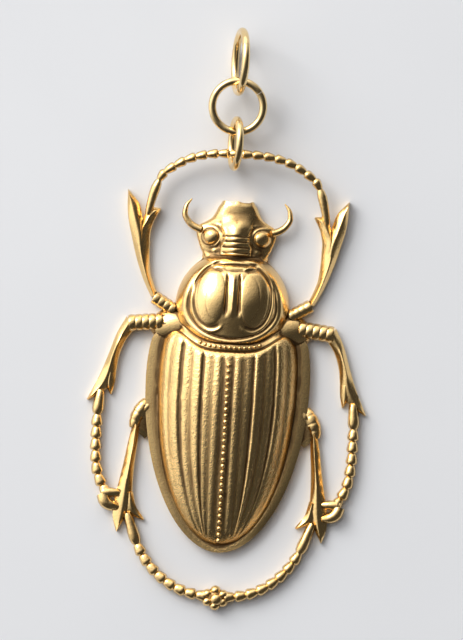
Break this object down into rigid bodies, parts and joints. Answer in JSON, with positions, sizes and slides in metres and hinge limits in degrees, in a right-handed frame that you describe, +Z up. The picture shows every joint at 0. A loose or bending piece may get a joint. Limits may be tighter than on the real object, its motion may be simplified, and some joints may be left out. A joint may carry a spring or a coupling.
{
  "type": "scarab amulet",
  "caption": "Struck brass scarab pendant with a hollow back and openwork legs that meet in an arc, hung on wire jump rings.",
  "frame": {"origin": "middle of the whole amulet's box, on the surface that it lies on", "axes": "+Y from the tail towards the head and the rings, +Z up out of the wing cases, +X to the scarab's left as seen from above with the head away"},
  "size_m": [0.0354, 0.0734, 0.0085],
  "materials": {
    "antique_brass": "satin antiqued gold-coloured brass, darker in its recesses",
    "polished_brass": "polished gold-coloured wire"
  },
  "bodies": {
    "root": {"scarab": "antique_brass", "small_jump_ring": "polished_brass", "middle_jump_ring": "polished_brass", "top_jump_ring": "polished_brass"}
  },
  "joints": []
}
